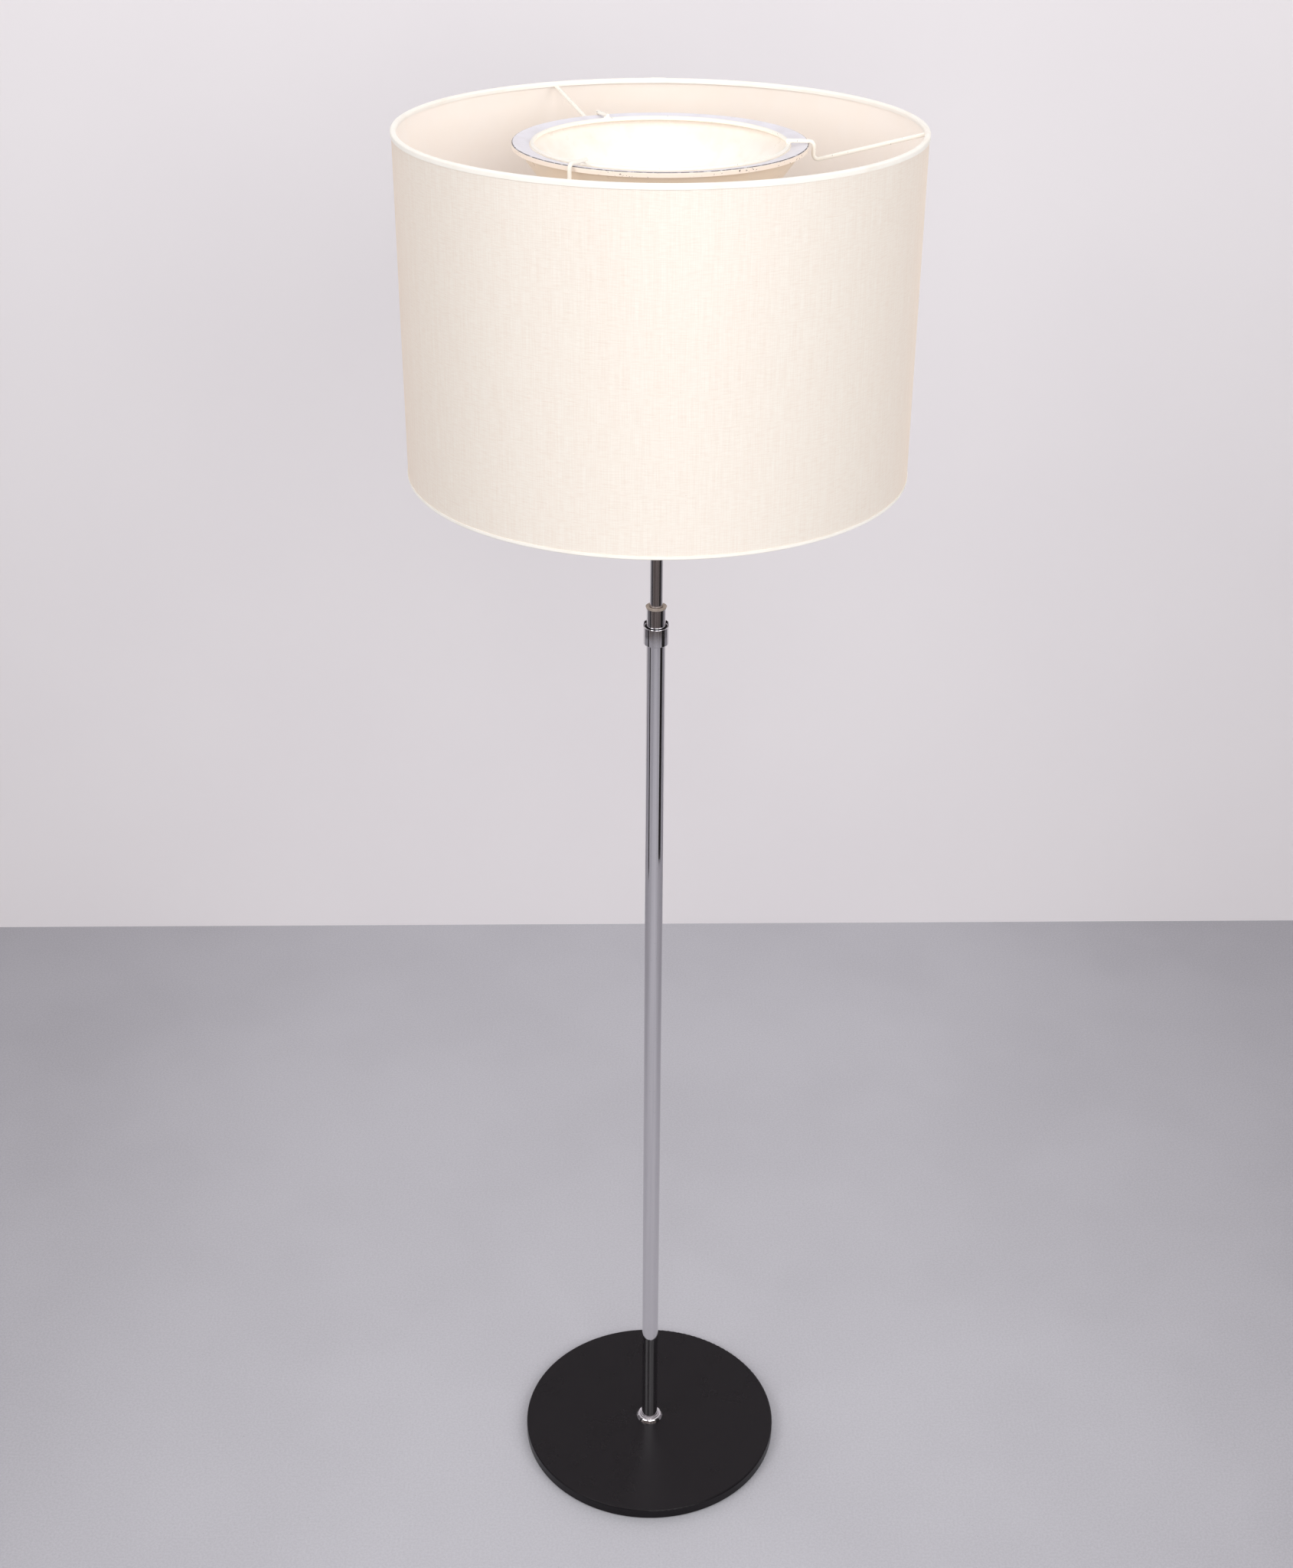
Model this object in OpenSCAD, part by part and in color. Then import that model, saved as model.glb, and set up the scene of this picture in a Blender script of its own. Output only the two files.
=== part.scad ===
// Telescopic floor lamp: a round iron base, a pole of two telescoping tubes, and a drum
// shade that hangs by a wire carrier on the rim of a reflector bowl.
// Origin: centre of the underside. +Z up, +X to the lamp's right, +Y to its back.

/* [Base] */
// Diameter of the iron base
base_d = 286; // [240:2:340]
// Thickness of the iron base
base_t = 11.5; // [10:0.5:16]
// Radius of the base's rounded top edge
base_edge_r = 1.5; // [0.5:0.5:8]
// Thickness of the felt pad under the base
felt_t = 1.5; // [1:0.5:3]
// Step from the edge of the base in to the edge of the felt
felt_inset = 4; // [2:1:12]
// Width of the flex channel under the base
channel_w = 8; // [6:0.5:9]
// Height of the flex above the underside of the iron
flex_rise = 2; // [1:0.5:2.5]
// Wall of the rubber grommet round the flex
grommet_wall = 1.5; // [1:0.25:2]
// Length of the grommet in the channel
grommet_len = 12; // [8:1:20]
// How far the grommet's lip stands out of the edge and round the channel
grommet_lip = 1.2; // [0.8:0.1:1.5]

/* [Foot of the pole] */
// Diameter of the hollow stud that holds the pole
stud_d = 10; // [8:0.5:11]
// Bore for the flex through the studs and plugs
flex_bore = 6; // [4:0.5:6.5]
// Length of the tapped plug in the foot of the outer tube
ferrule_len = 30; // [20:1:50]
// Diameter of the washer under the base
washer_d = 26; // [22:1:40]
// Thickness of the washer
washer_t = 2; // [1:0.5:3]
// Width of the nut across its flats
nut_af = 17; // [15:0.5:19]
// Height of the nut
nut_h = 4; // [3:0.5:5]
// Diameter of the escutcheon round the foot of the pole
escutcheon_d = 30; // [26:1:44]
// Height of the escutcheon
escutcheon_h = 6; // [4:0.5:10]
// Thickness of the escutcheon at its edge
escutcheon_edge = 1.2; // [0.8:0.1:2]

/* [Pole] */
// Diameter of the outer tube
outer_d = 18; // [17:0.5:22]
// Wall of the outer tube
outer_wall = 1.2; // [1:0.1:1.6]
// Length of the outer tube
outer_len = 1026; // [800:1:1200]
// Diameter of the inner tube
inner_d = 12; // [11:0.5:13]
// Wall of the inner tube
inner_wall = 1.5; // [1:0.1:1.8]
// How far the inner tube stands out of the outer tube, as drawn
stem_out = 258; // [200:1:300]
// How far it can still be drawn out, until its plug meets the guide bush
stem_rise = 250; // [150:1:300]

/* [Guide bush] */
// Diameter of the bush's flange
bush_flange_d = 20; // [19:0.5:21]
// Thickness of the bush's flange
bush_flange_t = 1.75; // [1:0.25:3]
// Bevel under the edge of the flange
bush_bevel = 0.6; // [0:0.1:0.9]
// Length of the bush inside the outer tube
bush_len = 60; // [30:1:90]
// Chamfer at the mouth of the bush
bush_chamfer = 0.8; // [0.4:0.1:1.2]

/* [Brake plug] */
// Length of the plug's head below the inner tube
plug_len = 30; // [16:1:60]
// Length of the plug's spigot inside the inner tube
plug_spigot = 16; // [10:1:30]
// Wire of the brake spring
brake_wire_d = 1.2; // [0.8:0.1:1.4]
// Gap in the brake spring's ring, in degrees
brake_split = 24; // [10:1:60]

/* [Collar] */
// Diameter of the collar
collar_d = 23.6; // [23.5:0.1:30]
// Length of the collar at its front
collar_len = 17.6; // [14:0.1:30]
// Wall of the collar
collar_wall = 1; // [0.8:0.1:1.2]
// Wall of the part that stands higher at the back
collar_back_wall = 0.5; // [0.4:0.1:0.7]
// How much higher the back of the collar stands
collar_rise = 3.4; // [1:0.1:8]
// Chamfer at the collar's lower edge
collar_chamfer = 0.4; // [0.2:0.1:0.6]
// Distance from the top of the outer tube down to the collar's front rim
collar_drop = 18.7; // [8:0.1:60]
// Step from the collar's rim down to its rubber liner
liner_step = 1.5; // [0.5:0.1:4]

/* [Lampholder] */
// Diameter of the lampholder
holder_d = 39.5; // [38:0.5:44]
// Height of the lampholder's cap
cap_h = 22; // [18:1:30]
// Wall of the lampholder's cap and skirt
holder_wall = 2.2; // [1.6:0.1:3]
// Height of the lampholder's skirt
skirt_h = 34; // [30:1:40]
// Height of the lock nut under the lampholder
lock_h = 4; // [3:0.5:6]
// Width of the lock nut across its flats
lock_af = 16; // [14:0.5:17]
// Height from the underside of the cap to the underside of the bowl
bowl_seat_h = 48; // [44:1:50]
// Diameter of the two rings that clamp the bowl
clamp_ring_d = 52; // [48:1:54]
// Thickness of the clamping rings
clamp_ring_t = 5; // [3:0.5:6]
// Thickness of the insulating insert's flange
insert_flange_t = 8; // [5:0.5:10]
// Height of the insert's boss in the skirt
insert_boss_h = 8; // [5:0.5:10]
// Length of the screw shell
shell_len = 21; // [16:1:23]
// Thickness of the sheet brass
brass_t = 0.5; // [0.3:0.1:0.8]

/* [Bulb] */
// Diameter of the bulb's screw cap
bulb_cap_d = 26.2; // [25:0.1:26.6]
// Height of the bulb's screw cap
bulb_cap_h = 20; // [18:1:24]
// Largest diameter of the bulb
bulb_d = 60; // [45:1:64]
// Length of the bulb
bulb_len = 104; // [96:1:110]
// Thickness of the bulb's glass
glass_t = 0.8; // [0.6:0.1:1.2]

/* [Reflector bowl] */
// Diameter over the bowl's rim ring
rim_d = 250; // [220:2:300]
// Height of the bowl from its underside to the top of the rim
bowl_h = 116.5; // [100:0.5:140]
// Radius of the bowl's round bottom
bowl_round_r = 67; // [55:1:80]
// Radius of the flat seat in the bowl's bottom
bowl_flat_r = 28; // [27:0.5:32]
// Thickness of the sheet of the bowl and its rim ring
sheet_t = 0.8; // [0.6:0.1:1.2]
// Height of the rim ring's turned-down lip
lip_h = 4.2; // [3:0.1:8]
// Width of the rim ring's sloping flange
flange_w = 15; // [10:0.5:20]
// Slope of the flange
flange_slope = 10; // [4:1:14]
// Radius of the rim ring's bend
rim_round = 1.2; // [1:0.1:2]
// Width of the bowl's turned-out edge under the rim ring
edge_w = 2; // [1.5:0.1:3]

/* [Shade] */
// Diameter of the shade over its fabric
shade_d = 449; // [400:1:500]
// Height of the shade
shade_h = 300; // [240:1:340]
// Height of the shade's top above the bowl's rim
shade_above_rim = 12.5; // [10:0.5:20]
// Thickness of the fabric
fabric_t = 0.4; // [0.3:0.1:1]
// Thickness of the stiff backing
backing_t = 0.4; // [0.3:0.1:1]
// Wire of the shade's top and bottom rings
shade_wire_d = 2.6; // [2.4:0.1:4.5]
// Thickness of the tape over the wires
tape_t = 0.4; // [0.3:0.05:0.8]
// Height of the top tape on the outside
top_tape_h = 4; // [2.5:0.1:8]
// Height of the bottom tape on the outside
bottom_tape_h = 3.3; // [2.5:0.1:8]
// Height of both tapes on the inside
inside_tape_h = 3.6; // [3.4:0.1:10]
// Radius of the tape's fold round the edge of the fabric
fold_r = 1.2; // [1:0.1:1.6]

/* [Shade carrier] */
// Wire of the carrier
carrier_wire_d = 3.5; // [3:0.1:4]
// Gap between the carrier's ring and the edge of the rim's flange
ring_play = 0.75; // [0.5:0.05:3]
// Angle of the first arm from the lamp's right
carrier_turn = -4; // [-60:1:60]
// Gap from the rim's lip to the arms
arm_lip_gap = 2.2; // [1:0.1:4]
// How far an arm steps down outside the rim
arm_step = 14.5; // [10:0.5:20]
// Radius of the arms' bends
arm_bend_r = 4; // [2.5:0.5:5]
// How far below the middle of the top wire an arm's end is welded
arm_sink = 0.8; // [0:0.1:1.5]

/* [Fits] */
// Radial gap where one piece turns or slides in another
run_gap = 0.06; // [0.03:0.01:0.1]
// Gap round pieces that are fixed in one another
fit_gap = 0.05; // [0.02:0.01:0.1]
// Gap between pieces that rest on each other and can move
rest_gap = 0.3; // [0.2:0.05:0.5]
// Radial gap of a plain clearance hole
hole_gap = 0.3; // [0.2:0.05:0.6]
// Gap left where a sliding piece has reached its stop
stop_gap = 0.5; // [0.3:0.1:1]

/* [Hidden] */

$fn = 96;
WIRE_FN = 32;
CUT = 1; // how far a cutting tool runs past the face it cuts

chrome = [0.80, 0.80, 0.81];
black_lacquer = [0.12, 0.11, 0.12];
white_lacquer = [0.95, 0.94, 0.92];
zinc = [0.68, 0.69, 0.70];
beige_plastic = [0.63, 0.58, 0.53];
black_rubber = [0.08, 0.08, 0.08];
black_bakelite = [0.10, 0.09, 0.09];
brass = [0.78, 0.62, 0.30];
porcelain = [0.90, 0.89, 0.86];
opal_glass = [0.98, 0.97, 0.93];
raw_silk = [0.93, 0.87, 0.80];
felt_green = [0.14, 0.15, 0.14];

// Heights, from the floor up
base_top = felt_t + base_t;
outer_top = base_top + outer_len;
inner_top = outer_top + stem_out;
plug_top = outer_top - bush_len - stop_gap - stem_rise;
inner_bottom = plug_top + run_gap;
holder_z = inner_top + lock_h;
bowl_z = holder_z + bowl_seat_h;
rim_z = bowl_z + bowl_h;
shade_top = rim_z + shade_above_rim;
shade_bottom = shade_top - shade_h;

// Base and foot
stud_tail = 0.6; // thread that shows below the nut
recess_gap = 0.4; // air between the stud and the felt
recess_h = washer_t + nut_h + stud_tail + recess_gap;
recess_room = 4; // room round the washer
recess_d = washer_d + 2 * recess_room;
washer_top = felt_t + recess_h;
nut_top = washer_top - washer_t;
stud_bottom = nut_top - nut_h - stud_tail;
stud_rest = 4; // thread of the ferrule that stays empty above the stud
stud_hold = ferrule_len - stud_rest;
channel_z = felt_t + flex_rise;
bead_w = 1.6; // width of the escutcheon's bead
bead_rise = 1.4; // its height above the dome
groove_w = 0.8; // width of the groove beside it
groove_dip = 0.3; // depth of the groove
DOME_STEPS = 6;

// Tubes
outer_id = outer_d - 2 * outer_wall;
inner_id = inner_d - 2 * inner_wall;
plug_z = plug_top - plug_len;
brake_z = plug_z + plug_len / 2;
nipple_hold = 14; // length of the top nipple inside the inner tube
nipple_step = 0.5; // shoulder of the top nipple on the tube's end
nipple_d = inner_id + 2 * nipple_step;

// Collar
collar_top = outer_top - collar_drop;
collar_z = collar_top - collar_len;
collar_id = collar_d - 2 * collar_wall;
collar_slope = [-1.5, 4]; // where the step up to the back starts and ends, along Y

// Lampholder and bulb, above the lampholder's underside
cap_neck_r = 9;
insert_z = holder_z + cap_h - insert_flange_t;
skirt_z = holder_z + cap_h;
boss_top = skirt_z + insert_boss_h;
boss_step = 1; // step from the insert's flange in to its boss
wire_hole_d = 4;
wire_hole_x = 9;
skirt_lip_t = 1.5; // in-turned lip at the skirt's top
thread_gap = 0.4; // radial room of the bulb's thread
shell_id = bulb_cap_d + 2 * thread_gap;
shell_od = shell_id + 2 * brass_t;
tongue_h = 1.2;
tongue_w = 5;
tongue_len = 18;
tongue_tip_d = 4;
bulb_z = boss_top + brass_t + tongue_h;
bulb_contact_h = 1.5;
bulb_contact_r = 3.5;
bulb_cone_r = 5; // radius of the small end of the cap's cone
bulb_cap_edge = 0.6; // step where the cone meets the cap
bulb_cone_h = 3;
bulb_cap_z = bulb_z + bulb_contact_h;
glass_z = bulb_cap_z + bulb_cone_h + bulb_cap_h;

// Bowl: the wall is a cone that runs into a round bottom
rim_bend = [rim_d / 2 - rim_round, bowl_h - rim_round];
edge_tip = rim_d / 2 - sheet_t - fit_gap;
edge_r = edge_tip - edge_w;
edge_h = flange_height(edge_r - sheet_t / 2, rim_round - sheet_t) - fit_gap - sheet_t;
round_h = sqrt(pow(bowl_round_r, 2) - pow(bowl_flat_r, 2)); // height of the round's centre
bowl_hole_r = holder_d / 2 + hole_gap;

// Shade
fabric_or = shade_d / 2;
backing_or = fabric_or - fabric_t - fit_gap;
shade_wire_r = backing_or - backing_t - fit_gap - shade_wire_d / 2;
tape_or = fabric_or + fit_gap + tape_t;
tape_ir = shade_wire_r - shade_wire_d / 2 - fit_gap - tape_t;
wire_drop = tape_t + fit_gap + shade_wire_d / 2; // from the tape's face to the wire's middle

// Carrier: each arm lies on the ring, crosses the rim, steps down and rises to the top wire
arm_z = rim_z + rest_gap + carrier_wire_d / 2;
carrier_ring_r = rim_d / 2 - flange_w - ring_play - carrier_wire_d / 2;
carrier_ring_z = arm_z - carrier_wire_d - fit_gap;
arm_r = rim_d / 2 + arm_lip_gap + carrier_wire_d / 2;
arm_low_z = arm_z - arm_step;
arm_foot = [arm_r + arm_bend_r, arm_low_z + arm_bend_r];
arm_goal = [shade_wire_r, shade_top - wire_drop - arm_sink];
arm_touch = foot_of_tangent(arm_foot, arm_bend_r, arm_goal, -1);
arm_reach = norm(arm_goal - on_circle(arm_foot, arm_bend_r, arm_touch))
    - shade_wire_d / 2 - fit_gap;
carrier_angles = [carrier_turn, carrier_turn + 120, carrier_turn - 120];
joint_bead = 0.02; // joins an arm's lower bend and its last run into one solid

// Height of the rim ring's flange at a radius: bend is that of its top or its underside
function flange_height(r, bend) =
    rim_bend.y + bend * cos(flange_slope)
    - (rim_bend.x - bend * sin(flange_slope) - r) * tan(flange_slope);

// Point at an angle on a circle
function on_circle(centre, r, angle) = centre + r * [cos(angle), sin(angle)];

// Points on an arc
function arc(centre, r, from, to, steps) =
    [for (i = [0 : steps]) on_circle(centre, r, from + (to - from) * i / steps)];

// Angle at which a line from a point touches a circle: side 1 turns left, -1 turns right
function foot_of_tangent(centre, r, point, side) =
    let (d = point - centre)
    atan2(d.y, d.x) + side * acos(r / norm(d));

// Ring or tube, standing on z
module tube(outer, inner, z, h) {
    translate([0, 0, z]) difference() {
        cylinder(h = h, r = outer);
        translate([0, 0, -CUT]) cylinder(h = h + 2 * CUT, r = inner);
    }
}

// Hexagon nut, standing on z
module hex_nut(af, hole_r, z, h) {
    translate([0, 0, z]) difference() {
        cylinder(h = h, d = af / cos(30), $fn = 6);
        translate([0, 0, -CUT]) cylinder(h = h + 2 * CUT, r = hole_r);
    }
}

// Closed ring of round wire
module wire_ring(r, wire_d, z) {
    translate([0, 0, z])
        rotate_extrude() translate([r, 0]) circle(d = wire_d, $fn = WIRE_FN);
}

// ---- Base ----

// Flex channel, open below and round above
module flex_channel(w, from, to) {
    translate([-w / 2, from, felt_t - CUT]) cube([w, to - from, flex_rise + CUT]);
    translate([0, from, channel_z]) rotate([-90, 0, 0]) cylinder(h = to - from, d = w);
}

module base_disc() {
    r = base_d / 2;
    edge = [r - base_edge_r, base_top - base_edge_r];
    color(black_lacquer) difference() {
        rotate_extrude() union() {
            translate([0, felt_t]) square([edge.x, base_t]);
            translate([0, felt_t]) square([r, base_t - base_edge_r]);
            translate(edge) intersection() {
                circle(base_edge_r);
                square(base_edge_r);
            }
        }
        translate([0, 0, felt_t - CUT]) cylinder(h = recess_h + CUT, d = recess_d);
        cylinder(h = base_top + CUT, r = stud_d / 2 + hole_gap);
        flex_channel(channel_w, recess_d / 2 - CUT, r + CUT);
    }
}

module base_felt() {
    color(felt_green) cylinder(h = felt_t, r = base_d / 2 - felt_inset);
}

// Grommet in the channel's mouth, with a lip outside
module cable_grommet() {
    r = base_d / 2;
    y = r - grommet_len;
    color(black_rubber) difference() {
        union() {
            intersection() {
                flex_channel(channel_w - 2 * fit_gap, y, r + grommet_lip);
                translate([0, 0, felt_t]) cylinder(h = base_t, r = r + grommet_lip);
            }
            intersection() {
                flex_channel(channel_w + 2 * grommet_lip, y, r + grommet_lip);
                tube(r + grommet_lip, r + fit_gap, felt_t, base_t);
            }
        }
        translate([0, y - CUT, channel_z]) rotate([-90, 0, 0])
            cylinder(h = grommet_len + 2 * CUT + grommet_lip, d = channel_w - 2 * grommet_wall);
    }
}

// ---- Foot of the pole ----

// Domed escutcheon with a bead round the tube
module foot_collar() {
    hole = outer_d / 2 + fit_gap;
    rim = escutcheon_d / 2;
    shoulder = hole + bead_w + groove_w;
    dome_h = escutcheon_h - bead_rise;
    color(chrome) translate([0, 0, base_top]) rotate_extrude() polygon(concat(
        [[hole, 0], [rim, 0], [rim, escutcheon_edge]],
        [for (i = [1 : DOME_STEPS])
            [rim + (shoulder - rim) * i / DOME_STEPS,
             escutcheon_edge + (dome_h - escutcheon_edge) * sin(90 * i / DOME_STEPS)]],
        [[hole + bead_w, dome_h - groove_dip]],
        arc([hole + bead_w / 2, escutcheon_h - bead_w / 2], bead_w / 2, 0, 180, 8)
    ));
}

module foot_ferrule() {
    color(zinc) tube(outer_id / 2 - fit_gap, stud_d / 2 + fit_gap, base_top, ferrule_len);
}

module foot_nipple() {
    color(zinc)
        tube(stud_d / 2, flex_bore / 2, stud_bottom, base_top + stud_hold - stud_bottom);
}

module foot_washer() {
    color(zinc) tube(washer_d / 2, stud_d / 2 + hole_gap, nut_top, washer_t);
}

module foot_nut() {
    color(zinc) hex_nut(nut_af, stud_d / 2 + fit_gap, nut_top - nut_h, nut_h);
}

// ---- Pole ----

module outer_tube() {
    color(chrome) tube(outer_d / 2, outer_id / 2, base_top, outer_len);
}

// Flanged bush in the mouth of the outer tube
module guide_bush() {
    bore = inner_d / 2 + run_gap;
    top = outer_top + bush_flange_t;
    color(beige_plastic) difference() {
        union() {
            translate([0, 0, outer_top - bush_len])
                cylinder(h = bush_len, r = outer_id / 2 - fit_gap);
            translate([0, 0, outer_top])
                cylinder(h = bush_flange_t, d1 = bush_flange_d - 2 * bush_bevel, d2 = bush_flange_d);
        }
        translate([0, 0, outer_top - bush_len - CUT])
            cylinder(h = bush_len + bush_flange_t + 2 * CUT, r = bore);
        translate([0, 0, top - bush_chamfer])
            cylinder(h = bush_chamfer, r1 = bore, r2 = bore + bush_chamfer);
    }
}

module inner_tube() {
    color(chrome) tube(inner_d / 2, inner_id / 2, inner_bottom, inner_top - inner_bottom);
}

// Plug on which the inner tube turns; its split spring grips the outer tube
module brake_plug() {
    r = outer_id / 2 - run_gap;
    color(beige_plastic) difference() {
        union() {
            translate([0, 0, plug_z]) cylinder(h = plug_len, r = r);
            translate([0, 0, plug_top]) cylinder(h = plug_spigot, r = inner_id / 2 - run_gap);
        }
        translate([0, 0, plug_z - CUT])
            cylinder(h = plug_len + plug_spigot + 2 * CUT, d = flex_bore);
        tube(r + CUT, r - brake_wire_d - 2 * fit_gap, brake_z - brake_wire_d / 2 - fit_gap,
             brake_wire_d + 2 * fit_gap);
    }
}

module brake_spring() {
    color(zinc) translate([0, 0, brake_z]) rotate([0, 0, brake_split / 2])
        rotate_extrude(angle = 360 - brake_split)
            translate([outer_id / 2 - run_gap - brake_wire_d / 2, 0])
                circle(d = brake_wire_d, $fn = WIRE_FN);
}

// ---- Collar ----

// Cup with a mouth that is lower at the front; a ledge runs round inside the higher back
module collar_cup() {
    r = collar_d / 2;
    reach = r + CUT;
    color(chrome) difference() {
        translate([0, 0, collar_z]) rotate_extrude() polygon([
            [0, 0], [r - collar_chamfer, 0], [r, collar_chamfer],
            [r, collar_len + collar_rise], [0, collar_len + collar_rise]
        ]);
        translate([0, 0, collar_z + collar_wall]) cylinder(h = collar_len, d = collar_id);
        translate([0, 0, collar_z - CUT]) cylinder(h = collar_len, r = outer_d / 2 + hole_gap);
        translate([0, 0, collar_top])
            cylinder(h = collar_rise + CUT, r = r - collar_back_wall);
        translate([-reach, 0, collar_top]) rotate([90, 0, 90]) linear_extrude(2 * reach)
            polygon([
                [-reach, 0], [collar_slope[0], 0], [collar_slope[1], collar_rise],
                [collar_slope[1], collar_rise + CUT], [-reach, collar_rise + CUT]
            ]);
    }
}

module collar_liner() {
    floor_z = collar_z + collar_wall;
    color(black_rubber) tube(collar_id / 2 - fit_gap, outer_d / 2 + run_gap, floor_z,
                             collar_top - liner_step - floor_z);
}

// ---- Lampholder ----

module lock_nut() {
    color(zinc) hex_nut(lock_af, nipple_d / 2 + fit_gap, inner_top, lock_h);
}

// Hollow nipple: a thin end inside the tube, a full one above it
module top_nipple() {
    color(zinc) difference() {
        union() {
            translate([0, 0, inner_top - nipple_hold])
                cylinder(h = nipple_hold, r = inner_id / 2 - fit_gap);
            translate([0, 0, inner_top]) cylinder(h = lock_h + 2 * holder_wall, d = nipple_d);
        }
        translate([0, 0, inner_top - nipple_hold - CUT])
            cylinder(h = nipple_hold + lock_h + 2 * holder_wall + 2 * CUT, d = flex_bore);
    }
}

// Round-shouldered cap
module lampholder_cap() {
    r = holder_d / 2;
    shoulder = r - cap_neck_r;
    inner_r = r - holder_wall;
    color(black_bakelite) translate([0, 0, holder_z]) difference() {
        rotate_extrude() polygon(concat(
            [[0, 0], [cap_neck_r, 0]],
            arc([cap_neck_r, shoulder], shoulder, -90, 0, 10),
            [[r, cap_h], [0, cap_h]]
        ));
        translate([0, 0, -CUT]) cylinder(h = cap_h, r = nipple_d / 2 + fit_gap);
        translate([0, 0, 2 * holder_wall]) rotate_extrude() polygon(concat(
            [[0, 0], [cap_neck_r, 0]],
            arc([cap_neck_r, shoulder - holder_wall], inner_r - cap_neck_r, -90, 0, 10),
            [[inner_r, cap_h], [0, cap_h]]
        ));
    }
}

// Insulating insert between cap and skirt
module lampholder_insert() {
    color(porcelain) difference() {
        union() {
            translate([0, 0, insert_z])
                cylinder(h = insert_flange_t, r = holder_d / 2 - holder_wall - fit_gap);
            translate([0, 0, skirt_z])
                cylinder(h = insert_boss_h, r = holder_d / 2 - holder_wall - boss_step);
        }
        for (side = [-1, 1])
            translate([side * wire_hole_x, 0, insert_z - CUT])
                cylinder(h = insert_flange_t, d = wire_hole_d);
    }
}

// Skirt with an in-turned lip
module lampholder_skirt() {
    color(black_bakelite) difference() {
        translate([0, 0, skirt_z]) cylinder(h = skirt_h, d = holder_d);
        translate([0, 0, skirt_z - CUT])
            cylinder(h = skirt_h + CUT - skirt_lip_t, r = holder_d / 2 - holder_wall);
        translate([0, 0, skirt_z])
            cylinder(h = skirt_h + CUT, r = shell_od / 2 + hole_gap);
    }
}

module contact_tongue() {
    color(brass) translate([0, 0, boss_top]) {
        translate([-tongue_w / 2, -tongue_len / 2, 0]) cube([tongue_w, tongue_len, brass_t]);
        translate([0, 0, brass_t]) cylinder(h = tongue_h, d1 = tongue_w, d2 = tongue_tip_d);
    }
}

module contact_shell() {
    color(brass) tube(shell_od / 2, shell_id / 2, boss_top, shell_len);
}

module shade_ring_lower() {
    color(black_bakelite)
        tube(clamp_ring_d / 2, holder_d / 2 + fit_gap, bowl_z - clamp_ring_t, clamp_ring_t);
}

module shade_ring_upper() {
    color(black_bakelite)
        tube(clamp_ring_d / 2, holder_d / 2 + fit_gap, bowl_z + sheet_t, clamp_ring_t);
}

// ---- Bulb ----

module bulb_contact() {
    color(zinc) translate([0, 0, bulb_z])
        cylinder(h = bulb_contact_h, r1 = bulb_contact_r, r2 = bulb_cone_r - brass_t);
}

// Screw cap, a thin shell that is open to the glass
module bulb_cap() {
    r = bulb_cap_d / 2;
    color(zinc) translate([0, 0, bulb_cap_z]) rotate_extrude() polygon([
        [0, 0], [bulb_cone_r, 0], [r - bulb_cap_edge, bulb_cone_h], [r, bulb_cone_h],
        [r, bulb_cone_h + bulb_cap_h], [r - brass_t, bulb_cone_h + bulb_cap_h],
        [r - brass_t, bulb_cone_h + brass_t], [bulb_cone_r - brass_t, brass_t], [0, brass_t]
    ]);
}

// Section of the glass above the cap, in by a wall thickness
function bulb_section(wall, foot) =
    let (
        r = bulb_d / 2 - wall,
        centre = [0, bulb_len - bulb_contact_h - bulb_cone_h - bulb_cap_h - bulb_d / 2],
        neck = [bulb_cap_d / 2 - fit_gap - wall, foot],
        touch = foot_of_tangent(centre, r, neck, 1)
    )
    concat([[0, foot], neck], arc(centre, r, touch, 90, 24));

module bulb_glass() {
    color(opal_glass) translate([0, 0, glass_z]) rotate_extrude() difference() {
        polygon(bulb_section(0, 0));
        polygon(bulb_section(glass_t, -CUT));
    }
}

// ---- Reflector bowl ----

// Wall of the bowl from the flat seat to the edge, in by a wall thickness
function bowl_wall(wall) =
    let (
        centre = [0, round_h],
        r = bowl_round_r - wall,
        edge = [edge_r, edge_h],
        touch = foot_of_tangent(centre, bowl_round_r, edge, -1),
        start = asin((wall - round_h) / r)
    )
    concat(
        arc(centre, r, start, touch, 16),
        [edge + wall * [cos(touch + 180), sin(touch + 180)]]
    );

module reflector_bowl() {
    outside = bowl_wall(0);
    inside = bowl_wall(sheet_t);
    last = len(inside) - 1;
    color(white_lacquer) translate([0, 0, bowl_z]) rotate_extrude() polygon(concat(
        [[bowl_hole_r, sheet_t], [bowl_hole_r, 0]],
        outside,
        [[edge_tip, edge_h], [edge_tip, edge_h + sheet_t],
         [edge_r - sheet_t / 2, edge_h + sheet_t]],
        [for (i = [last : -1 : 0]) inside[i]]
    ));
}

// Ring with a turned-down lip outside and a sloping flange inside
module rim_ring() {
    r = rim_d / 2;
    inner = r - flange_w;
    under = rim_round - sheet_t;
    color(white_lacquer) translate([0, 0, bowl_z]) rotate_extrude() polygon(concat(
        [[r - sheet_t, bowl_h - lip_h], [r, bowl_h - lip_h]],
        arc(rim_bend, rim_round, 0, 90 + flange_slope, 6),
        [[inner, flange_height(inner, rim_round)], [inner, flange_height(inner, under)]],
        arc(rim_bend, under, 90 + flange_slope, 0, 4)
    ));
}

// ---- Shade carrier ----

// Straight run of carrier wire along a radius or upright, in the XZ plane
module wire_run(from, tilt, length) {
    translate([from.x, 0, from.y]) rotate([0, tilt, 0])
        cylinder(h = length, d = carrier_wire_d, $fn = WIRE_FN);
}

// Bend of carrier wire in the XZ plane
module wire_bend(centre, from, to) {
    translate([centre.x, 0, centre.y]) rotate([90, 0, 0]) rotate([0, 0, from])
        rotate_extrude(angle = to - from) translate([arm_bend_r, 0])
            circle(d = carrier_wire_d, $fn = WIRE_FN);
}

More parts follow.
